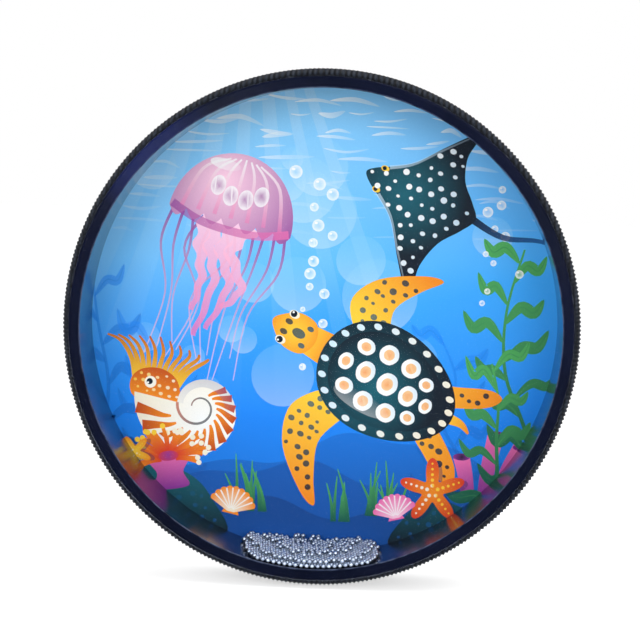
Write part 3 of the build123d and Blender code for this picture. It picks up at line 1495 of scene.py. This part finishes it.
@dataclass
class Water(Motif):
    """Bright water with light from above, ripples at the top and soft round glints."""

    radius: float = Sheet.radius
    seed: int = 5

    def draw(self) -> None:
        """Paints the water over the whole sheet."""
        disc = oval(2 * self.radius, 2 * self.radius, count=240)
        self.paint(disc, Wash(Ink.SHALLOW, Ink.WATER, (-20, 112), (10, 0)))
        self.paint(disc, Wash(Ink.BLUE, Ink.BLUE, (0, 30), (0, -50), (0.0, 1.0)))
        self.paint(disc, Wash(Ink.DEEP, Ink.DEEP, (0, -45), (0, -117), (0.0, 0.85)))
        self.paint(disc, Wash(Ink.BLUE, Ink.BLUE, (-20, 20), (140, 20), (0.0, 0.22), outward=True))
        dice = random.Random(self.seed)
        for ray in range(7):
            lean = -0.55 + ray * 0.17
            foot = (-40 + 260 * lean, -150 + 30 * dice.random())
            width = dice.uniform(5, 13)
            top = -62 + 6 * ray
            shaft = [(top, 150), (top + 4, 150), (foot[0] + width, foot[1]), (foot[0] - width, foot[1])]
            self.paint(shaft, Wash(Ink.FOAM, Ink.SHALLOW, (0, 118), (40 * lean, -45), (0.24, 0.0)))
        for row in range(14):
            self.ripple_row(dice, row)
        for _ in range(22):
            size = dice.uniform(9, 40)
            u, v = dice.uniform(-95, 95), dice.uniform(-40, 85)
            glint = Wash(Ink.SHALLOW, Ink.FOAM, (u, v + size / 2), (u, v - size / 2), (0.14, 0.34))
            self.paint(oval(size, size, (u, v), 30), glint)

    def ripple_row(self, dice: random.Random, row: int) -> None:
        """Paints one row of ripples below the surface.

        Args:
            dice: The source of scatter.
            row: Its number from the top.
        """
        level = 113 - row * 5.2
        half = math.sqrt(max(self.radius**2 - level**2, 0.0))
        u = -half
        while u < half:
            length = dice.uniform(10, 30)
            rise = dice.uniform(-2.5, 2.5)
            middle = (u + length / 2, level + rise + dice.uniform(-1.6, 1.6))
            line = [(u, level + rise), middle, (u + length, level + rise + dice.uniform(-3, 3))]
            cover = 0.8 * (1 - row / 15)
            lens = ribbon(line, dice.uniform(0.8, 3.2 - row * 0.12), 0.0, lens=True)
            self.paint(lens, Wash(Ink.WHITE, Ink.FOAM, line[0], line[2], (cover, cover * 0.5)))
            u += length + dice.uniform(0, 12) + row * 1.5


@dataclass
class Jellyfish(Motif):
    """A pink jellyfish with a ribbed bell, frilled arms and trailing threads."""

    seed: int = 3

    def draw(self) -> None:
        """Paints the jellyfish."""
        dice = random.Random(self.seed)
        for number in range(12):
            x = -24 + number * 48 / 11
            sway = dice.uniform(-5, 5)
            end = -58 - dice.uniform(0, 16)
            line = [(x, -5), (x * 0.94 + sway, -20), (x * 0.85 - sway, -40), (x * 0.7 + sway, end)]
            thread = ribbon(line, 1.3, 0.4)
            self.paint(thread, Wash(Ink.PLUM, Ink.BLUSH, (0, -5), (0, -70), (0.9, 0.5)))
        for x, end in ((-9, -44), (-3, -54), (4, -50), (10, -40)):
            line = [(x, -4), (x * 0.7 - 3, -16), (x * 0.9 + 3, -30), (x * 0.6, end)]
            arm = ribbon(line, 6.5, 2.0, ruffles=5)
            self.paint(arm, Wash(Ink.BLUSH, Ink.PINK, (0, -4), (0, -52), (0.95, 0.75)))
        dome = [(26 * math.cos(t * math.pi / 30), -4 + 28 * math.sin(t * math.pi / 30)) for t in range(31)]
        hem = [(-26 + 52 * t / 56, -4 - 3.6 * abs(math.sin(7 * math.pi * t / 56))) for t in range(1, 56)]
        self.paint(dome + hem, Wash(Ink.BLUSH, Ink.PLUM, (-7, 12), (24, -14), outward=True))
        skirt = ribbon([(-25, -3), (-13, -7), (0, -8), (13, -7), (25, -3)], 3.4, 3.4)
        self.paint(skirt, Wash(Ink.PLUM, Ink.PINK, (-25, 0), (25, 0), (0.7, 0.7)))
        for x in (-21, -14, -7, 0, 7, 14, 21):
            line = [(x * 0.3, 22 - abs(x) * 0.05), (x * 0.78, 14), (x, -3)]
            self.paint(ribbon(line, 0.7, 1.8), Wash(Ink.WHITE, Ink.PINK, (0, 22), (0, -4), (0.75, 0.5)))
        for x, y in ((-8.5, 9), (-2.5, 6), (4, 6), (10, 9)):
            loop = Wash(Ink.PLUM, Ink.WHITE, (x, y), (x + 3.4, y), (0.65, 0.75), outward=True)
            self.paint(oval(6.2, 8.4, (x, y)), loop)
        self.paint(oval(13, 4.6, (-8, 18)), Wash(Ink.WHITE, Ink.WHITE, (-12, 20), (-2, 15), (0.75, 0.1)))


@dataclass
class SpottedRay(Motif):
    """A dark ray with pale spots, seen from above, and a long thin tail."""

    def draw(self) -> None:
        """Paints the ray."""
        tail = ribbon([(-18, 0), (-34, 2), (-52, -3), (-74, 4)], 3.2, 0.6)
        self.paint(tail, Wash(Ink.INK, Ink.DEEP, (-18, 0), (-74, 0), (1.0, 0.7)))
        wing = [(24, 3.6), (18, 7.5), (10, 14), (2, 26), (-7, 38), (-9, 36), (-8, 26), (-11, 15), (-17, 7)]
        far_wing = [(x, -y * 0.82) for x, y in reversed(wing)]
        outline = curve([(27, 0), *wing, (-21, 0), *far_wing], steps=5)
        self.paint(outline, Wash(Ink.TEAL, Ink.INK, (9, 2), (34, 2), outward=True))
        for sign in (1.0, -0.82):
            edge = [(19, 6.4 * sign), (11, 12.5 * sign), (3, 23.5 * sign), (-5.5, 35 * sign)]
            rim = ribbon(edge, 1.6, 0.5)
            self.paint(rim, Wash(Ink.FOAM, Ink.FOAM, (20, 0), (-8, 0), (0.5, 0.15)))
            self.paint(oval(3.4, 2.4, (20.5, 5.0 * sign)), Wash(Ink.YELLOW, Ink.YELLOW))
            self.paint(oval(1.7, 1.7, (20.8, 5.0 * sign)), Wash(Ink.INK, Ink.INK))
        for dot in self.dots(outline, 5.0, 2.3, 8):
            self.paint(dot, Wash(Ink.WHITE, Ink.FOAM, (10, 0), (-20, 0), (0.95, 0.8)))


@dataclass
class Turtle(Motif):
    """A sea turtle seen from above: dark scutes with pale patches, yellow and orange flippers."""

    def draw(self) -> None:
        """Paints the turtle."""
        for sign in (1, -1):
            far = 1.0 if sign > 0 else 0.82
            front = [(17, 14), (25, 19), (30, 30), (24, 45), (8, 58)]
            front += [(0, 60), (6, 50), (12, 36), (9, 24), (6, 18)]
            rear = [(-22, 13), (-29, 18), (-40, 24), (-46, 23), (-43, 16), (-34, 9), (-27, 6)]
            for shape, tip, step in ((front, (4, 58), 4.6), (rear, (-46, 22), 4.0)):
                outline = curve([(x, y * sign * far) for x, y in shape], steps=5)
                edge = (tip[0], tip[1] * sign * far)
                self.paint(outline, Wash(Ink.YELLOW, Ink.ORANGE, (12, 16 * sign), edge))
                for dot in self.dots(outline, step, 2.7, 4):
                    self.paint(dot, Wash(Ink.TEAL, Ink.INK, (12, 16 * sign), edge, (0.85, 0.95)))
        tail = ribbon([(-28, 0), (-36, -1), (-41, 1)], 5.5, 0.8)
        self.paint(tail, Wash(Ink.YELLOW, Ink.ORANGE, (-28, 0), (-41, 0)))
        self.head()
        self.shell()

    def head(self) -> None:
        """Paints the neck and the head."""
        neck = ribbon([(24, 0), (32, 0), (40, 0)], 15, 12)
        self.paint(neck, Wash(Ink.ORANGE, Ink.YELLOW, (26, 0), (40, 0)))
        outline = curve([(34, 0), (37, 7), (45, 8), (51, 4.5), (54.5, 0), (51, -4.5), (45, -8), (37, -7)])
        self.paint(outline, Wash(Ink.YELLOW, Ink.ORANGE, (44, 0), (57, 0), outward=True))
        patches = [(42, 0, 6, 4)]
        patches += [(48, 2.4, 3.4, 2.4), (48, -2.4, 3.4, 2.4), (38.5, 4, 3, 2.2), (38.5, -4, 3, 2.2)]
        for x, y, width, height in patches:
            ink = Wash(Ink.TEAL, Ink.INK, (36, 0), (52, 0), (0.9, 0.9))
            self.paint(oval(width, height, (x, y), 14), ink)
        for sign in (1, -1):
            self.paint(oval(4.6, 3.4, (47.5, 6.1 * sign)), Wash(Ink.CREAM, Ink.CREAM))
            self.paint(oval(2.8, 2.8, (47.8, 6.2 * sign)), Wash(Ink.INK, Ink.INK))
            self.paint(oval(0.9, 0.9, (48.3, 6.7 * sign), 10), Wash(Ink.WHITE, Ink.WHITE))

    def shell(self) -> None:
        """Paints the carapace with its scutes."""
        rim = []
        for step in range(60):
            turn = math.tau * step / 60
            rim.append((31 * math.cos(turn) - 1, 23.5 * math.sin(turn) * (1 + 0.14 * math.cos(turn))))
        self.paint(rim, Wash(Ink.TEAL, Ink.INK, (4, 6), (36, 6), outward=True))
        for step in range(22):
            turn = math.tau * (step + 0.5) / 22
            x = 28.6 * math.cos(turn) - 1
            y = 21.2 * math.sin(turn) * (1 + 0.14 * math.cos(turn))
            self.paint(oval(3.6, 2.6, (x, y), 12), Wash(Ink.CREAM, Ink.FOAM, (-30, 0), (30, 0)))
        inner = [(x * 0.84, y * 0.82) for x, y in rim]
        self.paint(inner, Wash(Ink.TEAL, Ink.INK, (2, 4), (27, 4), outward=True))
        scutes = [(19, 0, 6.5, 7.5), (9.5, 0, 8.2, 9.6), (-1, 0, 9, 10)]
        scutes += [(-11, 0, 8.2, 9), (-19.5, 0, 5.6, 6.6)]
        for sign in (1, -1):
            scutes += [(14.5, 9.4 * sign, 8, 7), (4.4, 11.2 * sign, 8.6, 8.6), (-6.4, 10.8 * sign, 8.6, 8.2)]
            scutes.append((-15.4, 8 * sign, 6.6, 6))
        for x, y, width, height in scutes:
            plate = curve(oval(width, height, (x, y), 6), steps=3)
            self.paint(plate, Wash(Ink.WHITE, Ink.FOAM, (x, y), (x - 5, y - 5), (0.98, 0.9)))
            core = [(x + (u - x) * 0.55, y + (v - y) * 0.55) for u, v in plate]
            self.paint(core, Wash(Ink.ORANGE, Ink.YELLOW, (x, y), (x + 4, y + 3), (0.9, 0.5), outward=True))
        self.paint(oval(26, 8, (5, 12)), Wash(Ink.WHITE, Ink.WHITE, (5, 16), (5, 8), (0.28, 0.0)))


@dataclass
class Nautilus(Motif):
    """A coiled nautilus shell with flame stripes, a hood and short arms."""

    start_radius: float = 30.0
    shrink: float = 0.175

    def at(self, turn: float, share: float = 1.0) -> Point:
        """Gives a point of the coil, at a turn in radians and a share of the radius there."""
        radius = self.start_radius * math.exp(-self.shrink * turn) * share
        return (radius * math.cos(turn), radius * math.sin(turn))

    def draw(self) -> None:
        """Paints the nautilus."""
        for number in range(11):
            lean = -0.75 + number * 0.15
            x = 13 + number * 1.7
            tip = (x + 20 * lean + 3, -27 + abs(lean) * 6)
            line = [(x, -3), (x + 6 * lean, -14), (x + 15 * lean, -21), tip]
            self.paint(ribbon(line, 3.0, 0.8), Wash(Ink.YELLOW, Ink.RUST, (20, -4), (20, -28)))
        hood = curve([(9, 1), (18, 3), (30, 2), (33, -5), (29, -11), (20, -13), (12, -9)])
        self.paint(hood, Wash(Ink.ORANGE, Ink.RUST, (22, 0), (22, -14)))
        for dot in self.dots(hood, 3.6, 1.7, 2):
            self.paint(dot, Wash(Ink.CREAM, Ink.YELLOW, (10, 0), (32, 0), (0.85, 0.85)))
        coil = [self.at(math.tau * step / 72) for step in range(73)]
        self.paint(coil, Wash(Ink.WHITE, Ink.CREAM, (-4, 6), (24, 6), outward=True))
        for number in range(13):
            turn = 0.24 + number * 0.31
            flame = ((0, 0.985), (0.06, 0.82), (0.2, 0.62), (0.3, 0.48))
            line = [self.at(turn + ahead, share) for ahead, share in flame]
            ink = Wash(Ink.RUST, Ink.ORANGE, line[0], line[3])
            self.paint(ribbon(line, 5.2 - number * 0.17, 0.9), ink)
        shade = [self.at(math.tau * step / 72) for step in range(36, 73)]
        shade += [self.at(math.tau * step / 72, 0.72) for step in range(72, 35, -1)]
        self.paint(shade, Wash(Ink.DEEP, Ink.DEEP, (0, -16), (0, 4), (0.4, 0.0)))
        line = [self.at(math.tau + math.tau * step / 24) for step in range(25)]
        self.paint(ribbon(line, 1.3, 0.6), Wash(Ink.INK, Ink.RUST, (0, 0), (10, 0), (0.8, 0.8)))
        self.paint(oval(5.4, 5.4, (24, -6)), Wash(Ink.WHITE, Ink.CREAM, (24, -6), (27, -6), outward=True))
        self.paint(oval(2.8, 2.8, (24.4, -6.2)), Wash(Ink.INK, Ink.INK))
        self.paint(oval(0.9, 0.9, (25.0, -5.5), 10), Wash(Ink.WHITE, Ink.WHITE))
        gleam = ribbon([self.at(0.75, 0.86), self.at(1.15, 0.88), self.at(1.6, 0.87)], 2.2, 0.0, lens=True)
        self.paint(gleam, Wash(Ink.WHITE, Ink.WHITE, cover=(0.8, 0.8)))


@dataclass
class Kelp(Motif):
    """A stem of kelp with long wavy blades on both sides."""

    height: float = 100.0
    blades: int = 9
    first: Ink = Ink.MOSS
    last: Ink = Ink.LEAF
    cover: float = 1.0
    seed: int = 1

    def draw(self) -> None:
        """Paints the kelp."""
        dice = random.Random(self.seed)
        sway = [dice.uniform(-6, 6) for _ in range(5)]
        stem = [(sway[step], self.height * step / 4) for step in range(5)]
        feet = curve(stem, closed=False, steps=10)
        ink = Wash(self.first, self.last, (0, 0), (0, self.height), (self.cover, self.cover))
        for number in range(self.blades):
            share = (number + 0.6) / self.blades
            side = 1 if number % 2 else -1
            u, v = feet[int(share * 39)]
            reach = side * dice.uniform(17, 25) * (1.1 - 0.35 * share)
            rise = dice.uniform(6, 13)
            line = [(u, v), (u + reach * 0.4, v + rise * 0.8 + dice.uniform(-2, 2))]
            line += [(u + reach * 0.75, v + rise * 0.7), (u + reach, v + rise * 1.5)]
            self.paint(ribbon(line, dice.uniform(4.5, 6.5), 0.0, lens=True), ink)
            vein = Wash(self.last, self.first, line[0], line[3], (0.6 * self.cover, 0.6 * self.cover))
            self.paint(ribbon(line, 0.8, 0.2), vein)
        self.paint(ribbon(stem, 2.4, 1.0), ink)


@dataclass
class SeaStar(Motif):
    """A five-armed sea star with a row of knobs on each arm."""

    radius: float = 16.0
    first: Ink = Ink.ORANGE
    last: Ink = Ink.RED

    def draw(self) -> None:
        """Paints the sea star."""
        outline = []
        for step in range(90):
            turn = math.tau * step / 90
            reach = self.radius * (0.34 + 0.66 * abs(math.cos(2.5 * turn)) ** 2.4)
            outline.append((reach * math.cos(turn), reach * math.sin(turn)))
        ink = Wash(self.first, self.last, (0, 0), (self.radius, 0), outward=True)
        self.paint([(u + 1.4, v - 1.6) for u, v in outline], Wash(Ink.NIGHT, Ink.NIGHT, cover=(0.5, 0.5)))
        self.paint(outline, ink)
        for arm in range(5):
            turn = math.tau * arm / 5
            for step in range(1, 6):
                reach = self.radius * step * 0.165
                size = self.radius * (0.13 - 0.014 * step)
                knob = oval(size, size, (reach * math.cos(turn), reach * math.sin(turn)), 10)
                self.paint(knob, Wash(Ink.CREAM, Ink.YELLOW, cover=(0.9, 0.9)))


@dataclass
class Anemone(Motif):
    """A red anemone with a crown of pale-tipped arms."""

    seed: int = 9

    def draw(self) -> None:
        """Paints the anemone."""
        dice = random.Random(self.seed)
        foot = curve([(-9, -12), (-7, -4), (-11, 4), (0, 8), (11, 4), (7, -4), (9, -12)], steps=5)
        self.paint(foot, Wash(Ink.PLUM, Ink.PINK, (0, -12), (0, 8)))
        for number in range(26):
            turn = math.radians(188 - number * 196 / 25)
            length = dice.uniform(15, 23)
            bend = dice.uniform(-0.3, 0.3)
            line = []
            for share in (0.25, 0.6, 1.0):
                angle = turn + bend * share
                line.append((length * share * math.cos(angle), 4 + length * share * math.sin(angle) * 0.85))
            ink = Wash(Ink.RED, Ink.ORANGE, line[0], line[2])
            self.paint(ribbon(line, 3.0, 1.7), ink)
            self.paint(oval(2.9, 2.9, line[2], 12), Wash(Ink.YELLOW, Ink.CREAM, cover=(1.0, 1.0)))
        self.paint(oval(11, 5.4, (0, 5)), Wash(Ink.PLUM, Ink.RED, (0, 5), (6, 5), outward=True))


@dataclass
class Scallop(Motif):
    """A ribbed scallop shell."""

    first: Ink = Ink.BLUSH
    last: Ink = Ink.PINK

    def draw(self) -> None:
        """Paints the scallop."""
        fan = []
        for step in range(64):
            turn = math.radians(18 + 144 * step / 63)
            reach = 15 + 0.9 * abs(math.sin(step * math.pi * 9 / 63))
            fan.append((reach * math.cos(turn), reach * math.sin(turn)))
        ears = [(-4, 1.5), (-5.5, -2), (5.5, -2), (4, 1.5)]
        self.paint(ears, Wash(self.last, self.last))
        fan += [(-2.2, -0.8), (2.2, -0.8)]
        self.paint(fan, Wash(self.first, self.last, (0, 0), (0, 15), outward=True))
        for rib in range(8):
            turn = math.radians(26 + rib * 16 + 8)
            line = [(1.5 * math.cos(turn), 1.5 * math.sin(turn)), (8 * math.cos(turn), 8 * math.sin(turn))]
            line.append((14.6 * math.cos(turn), 14.6 * math.sin(turn)))
            self.paint(ribbon(line, 0.4, 1.1), Wash(Ink.WHITE, Ink.WHITE, cover=(0.75, 0.75)))


@dataclass
class Seabed(Motif):
    """Dunes, rocks, grass and tube sponges along the bottom."""

    seed: int = 14

    def draw(self) -> None:
        """Paints the seabed."""
        for level, swell, shift, ink, cover in (
            (-66, 9, 0.4, Ink.DEEP, 0.4),
            (-80, 7, 2.1, Ink.DEEP, 0.7),
            (-93, 5, 4.0, Ink.NIGHT, 0.4),
        ):
            ground = []
            for u in range(-120, 121, 4):
                ground.append((u, level + swell * math.sin(u / 26 + shift) + 3 * math.sin(u / 9 + shift)))
            ground += [(120, -125), (-120, -125)]
            self.paint(ground, Wash(ink, Ink.DEEP, (0, level + swell), (0, -118), (cover, 0.8)))
        rocks = (
            [(-104, -112), (-98, -84), (-84, -76), (-66, -80), (-54, -92), (-48, -112)],
            [(40, -116), (46, -96), (60, -88), (78, -92), (92, -80), (106, -86), (108, -116)],
        )
        for shape in rocks:
            top = max(v for _, v in shape)
            outline = curve(shape)
            self.paint(outline, Wash(Ink.TEAL, Ink.INK, (0, top), (0, -112)))
            for dot in self.dots(outline, 6.0, 2.4, self.seed):
                self.paint(dot, Wash(Ink.MOSS, Ink.DEEP, (0, top), (0, -112), (0.8, 0.5)))
        dice = random.Random(self.seed)
        for foot in (-100, -38, -30, 12, 30, 38):
            for _ in range(6):
                u = foot + dice.uniform(-5, 5)
                height = dice.uniform(12, 28)
                lean = dice.uniform(-7, 7)
                base = -104 + abs(foot) * 0.2
                line = [(u, base), (u + lean * 0.3, base + height * 0.5), (u + lean, base + height)]
                self.paint(ribbon(line, 2.4, 0.4), Wash(Ink.MOSS, Ink.LEAF, (u, base), (u, base + height)))
        for u, v, height, lean in ((84, -84, 30, 5), (92, -82, 22, 10), (76, -86, 20, -4)):
            top = (u + lean, v + height)
            tube = ribbon([(u, v), (u + lean * 0.4, v + height * 0.5), top], 6.4, 8.4)
            self.paint(tube, Wash(Ink.PLUM, Ink.PINK, (u, v), top))
            mouth = Wash(Ink.INK, Ink.PLUM, top, (top[0] + 4.4, top[1]), outward=True)
            self.paint(oval(8.6, 3.6, top), mouth)


@dataclass
class Bubbles(Motif):
    """Rising bubbles, each with a bright rim and a glint."""

    count: int = 16
    seed: int = 21

    def draw(self) -> None:
        """Paints the bubbles."""
        dice = random.Random(self.seed)
        for number in range(self.count):
            u = dice.uniform(-9, 9) + 6 * math.sin(number * 0.7)
            v = number * 6.2 + dice.uniform(-2, 2)
            size = dice.uniform(1.8, 4.6) + number * 0.16
            skin = Wash(Ink.FOAM, Ink.WHITE, (u, v), (u + size / 2, v), (0.1, 0.85), outward=True)
            self.paint(oval(size, size, (u, v), 20), skin)
            glint = oval(size * 0.28, size * 0.2, (u - size * 0.18, v + size * 0.2), 10)
            self.paint(glint, Wash(Ink.WHITE, Ink.WHITE))


@dataclass
class Picture:
    """The sea picture behind the balls."""

    motifs: tuple[Motif, ...] = (
        Water(),
        Kelp(Spot(-101, -92, 6), 118, 11, Ink.DEEP, Ink.BLUE, 0.6, 4),
        Kelp(Spot(-86, -96, -3), 84, 9, Ink.DEEP, Ink.BLUE, 0.5, 6),
        Kelp(Spot(70, -96, 4), 92, 9, Ink.DEEP, Ink.BLUE, 0.55, 8),
        Seabed(),
        Kelp(Spot(100, -86, 2), 126, 13, seed=2),
        Kelp(Spot(89, -92, 5), 74, 8, seed=5),
        Bubbles(Spot(-4, -24), 17),
        Bubbles(Spot(84, 14), 10, 4),
        SpottedRay(Spot(50, 64, 158, 1.25)),
        Jellyfish(Spot(-48, 54, -14, 1.22)),
        Turtle(Spot(32, -30, 152, 1.2)),
        Nautilus(Spot(-62, -46, 168, 1.12)),
        Anemone(Spot(-76, -76, 8, 0.95)),
        Scallop(Spot(-44, -98, -12, 0.8), Ink.CREAM, Ink.ORANGE),
        SeaStar(Spot(58, -84, 20), 17.0),
        SeaStar(Spot(-94, -70, 50), 9.0, Ink.YELLOW, Ink.ORANGE),
        Scallop(Spot(40, -98, 14, 0.75)),
    )
    corner: float = 40.0

    def build(self) -> None:
        """Draws the motifs, cuts the sheet and dresses it."""
        sheet = Sheet()
        for motif in self.motifs:
            motif.draw()
            sheet.coats += motif.coats
        piece = keep_mesh("sea_picture", sheet.mesh(), PictureInk().material(), self.corner)
        settle(piece, "drum", "printed_picture", "picture_sheet")


@dataclass
class Tacks:
    """The two rows of tacks under the webbing, which keep their CAD shape."""

    nodes: tuple[str, ...] = ("front_tacks", "rear_tacks")

    def build(self) -> None:
        """Dresses both rows."""
        steel = TackSteel().material()
        for name in self.nodes:
            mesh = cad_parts[name].data
            mesh.materials.clear()
            mesh.materials.append(steel)
            log.info("%s keeps its CAD shape", name)


def main() -> None:
    """Builds the studio and the drum, piece by piece."""
    logging.basicConfig(level=logging.INFO, format="%(name)s: %(message)s")
    Studio().build()
    Shell().build()
    Picture().build()
    Webbing().build()
    Balls().build()
    Tacks().build()


if __name__ == "__main__":
    main()
